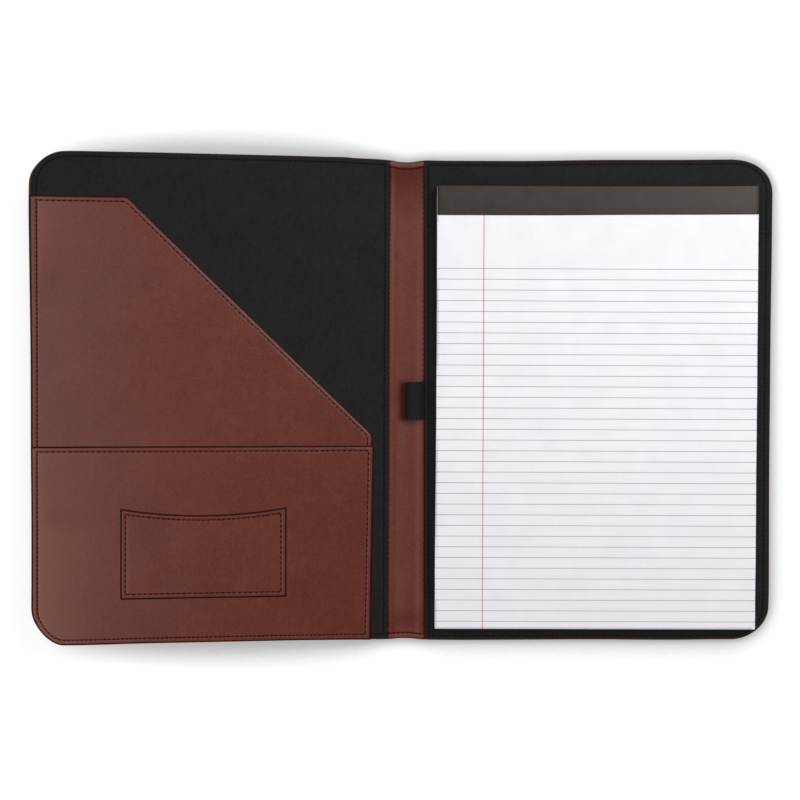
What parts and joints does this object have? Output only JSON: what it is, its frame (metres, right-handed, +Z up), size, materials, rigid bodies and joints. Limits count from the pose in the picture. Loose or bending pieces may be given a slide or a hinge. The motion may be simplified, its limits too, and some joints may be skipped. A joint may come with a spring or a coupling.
{
  "type": "leather portfolio",
  "caption": "Open padded leather portfolio: pad on the right in a lined pocket, soft spine with a pen loop, slanted document pocket, lower pocket and card pocket on the left.",
  "frame": {"origin": "on the surface it lies on, under the middle of the open portfolio's outline", "axes": "+X from the front cover across the spine to the back cover with the pad, +Y from the foot of the pages to their head, +Z up"},
  "size_m": [0.4938, 0.3252, 0.0361],
  "materials": {
    "outer_leather": "satin",
    "inner_leather": "satin",
    "black_lining": "matte",
    "foam": "matte",
    "chipboard": "matte",
    "elastic": "matte",
    "black_thread": "matte",
    "brown_thread": "matte",
    "paper": "matte",
    "binding_tape": "satin",
    "steel_wire": "satin"
  },
  "bodies": {
    "back_cover": {"back_outer_skin": "outer_leather", "back_padding": "foam", "back_board": "chipboard", "back_lining": "black_lining", "pad_pocket": "black_lining", "pen_loop_tab": "elastic", "back_edge_thread": "black_thread", "back_hinge_thread": "black_thread"},
    "spine": {"spine_outer_skin": "outer_leather", "spine_padding": "foam", "spine_inner_strip": "inner_leather", "spine_head_thread": "brown_thread", "spine_foot_thread": "brown_thread", "pen_loop": "elastic"},
    "front_cover": {"front_outer_skin": "outer_leather", "front_padding": "foam", "front_board": "chipboard", "front_lining": "black_lining", "document_pocket": "inner_leather", "lower_pocket": "inner_leather", "card_pocket": "inner_leather", "front_edge_thread": "brown_thread", "front_hinge_thread": "black_thread", "document_pocket_thread": "brown_thread", "lower_pocket_thread": "brown_thread", "card_pocket_thread": "brown_thread", "card_mouth_thread": "brown_thread"},
    "pad": {"pad_backboard": "chipboard", "pad_sheets": "paper", "pad_binding": "binding_tape", "staple_left": "steel_wire", "staple_middle": "steel_wire", "staple_right": "steel_wire"},
    "top_sheet": {"top_sheet": "paper"}
  },
  "joints": [
    {"name": "spine_fold", "type": "hinge", "parent": "back_cover", "child": "spine", "pos_m": [0.0115, 0, 0.0049], "axis": [0, 1, 0], "range_deg": [0, 90]},
    {"name": "front_cover_fold", "type": "hinge", "parent": "spine", "child": "front_cover", "pos_m": [-0.0127, 0, 0.0049], "axis": [0, 1, 0], "range_deg": [-7.1, 82.9]},
    {"name": "pad_slide", "type": "slide", "parent": "back_cover", "child": "pad", "axis": [0, 1, 0], "range_m": [0, 0.28]},
    {"name": "top_sheet_turn", "type": "hinge", "parent": "pad", "child": "top_sheet", "pos_m": [0.1278, 0.1247, 0.01355], "axis": [-1, 0, 0], "range_deg": [0, 175]}
  ]
}
